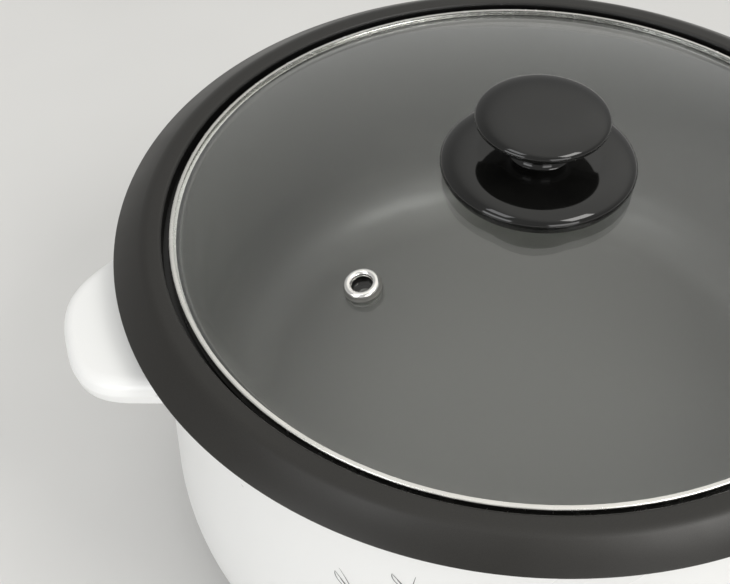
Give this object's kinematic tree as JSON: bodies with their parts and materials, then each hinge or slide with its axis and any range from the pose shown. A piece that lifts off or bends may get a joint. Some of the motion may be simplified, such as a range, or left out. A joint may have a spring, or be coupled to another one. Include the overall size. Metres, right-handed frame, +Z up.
{
  "type": "electric hot pot",
  "caption": "Round white electric hot pot with ear handles, a dark non-stick pan with a wide flange, and a loose domed glass lid with a knob and steam vent.",
  "frame": {"origin": "centre of the footprint, on the surface that the feet stand on", "axes": "+Z up, front with the dial at -Y, handles on +X and -X"},
  "size_m": [0.3652, 0.3226, 0.2044],
  "materials": {
    "shell_plastic": "smooth white moulded plastic",
    "nonstick_aluminium": "satin charcoal non-stick coating on aluminium",
    "seal_rubber": "dark heat-proof rubber",
    "zinc_steel": "zinc-plated steel",
    "heater_steel": "heat-tinted steel tube",
    "insulator_ceramic": "unglazed ceramic beads",
    "shield_sheet": "aluminised steel sheet",
    "thermostat_case": "phenolic case",
    "copper_tube": "bare copper tube",
    "fuse_case": "tinned case",
    "panel_plastic": "satin grey moulded plastic",
    "dial_plastic": "satin black moulded plastic",
    "lens_red": "clear red lens",
    "lamp_glass": "neon lamp glass",
    "inlet_plastic": "black heat-proof plastic",
    "pin_brass": "plated brass",
    "wire_brown": "insulated wire",
    "wire_red": "insulated wire",
    "wire_blue": "insulated wire",
    "wire_green": "insulated wire",
    "foot_rubber": "matt rubber",
    "lid_glass": "clear tempered glass",
    "lid_steel": "polished stainless steel",
    "grommet_silicone": "pale translucent silicone",
    "knob_plastic": "glossy black phenolic"
  },
  "bodies": {
    "pot": {"outer_shell": "shell_plastic", "left_handle": "shell_plastic", "right_handle": "shell_plastic", "handle_screws": "zinc_steel", "pan": "nonstick_aluminium", "pan_floor": "nonstick_aluminium", "rim_seal": "seal_rubber", "tie_screws": "zinc_steel", "heating_element": "heater_steel", "element_terminals": "insulator_ceramic", "element_bracket": "zinc_steel", "bracket_nut": "zinc_steel", "heat_shield": "shield_sheet", "thermostat": "thermostat_case", "thermostat_bracket": "zinc_steel", "sensor_bulb": "copper_tube", "sensor_clip": "zinc_steel", "thermal_fuse": "fuse_case", "fuse_clip": "zinc_steel", "control_panel": "panel_plastic", "indicator_lens": "lens_red", "indicator_lamp": "lamp_glass", "inlet_housing": "inlet_plastic", "inlet_pins": "pin_brass", "inlet_screws": "zinc_steel", "live_wire": "wire_brown", "load_wire": "wire_red", "neutral_wire": "wire_blue", "earth_wire": "wire_green", "base_cover": "shell_plastic", "base_screws": "zinc_steel", "feet": "foot_rubber"},
    "dial": {"control_dial": "dial_plastic", "thermostat_spindle": "zinc_steel"},
    "lid": {"lid_glass": "lid_glass", "lid_band": "lid_steel", "vent_eyelet": "lid_steel", "vent_grommet": "grommet_silicone", "knob_base": "knob_plastic", "knob_cap": "knob_plastic", "knob_insert": "pin_brass", "knob_screw": "lid_steel", "knob_washer": "knob_plastic", "knob_seal": "seal_rubber"}
  },
  "joints": [
    {"name": "lid_lift", "type": "slide", "parent": "pot", "child": "lid", "axis": [0, 0, 1], "range_m": [0, 0.09]},
    {"name": "dial_turn", "type": "hinge", "parent": "pot", "child": "dial", "pos_m": [0, -0.1495, 0.038], "axis": [0, 1, 0], "range_deg": [0, 270]}
  ]
}
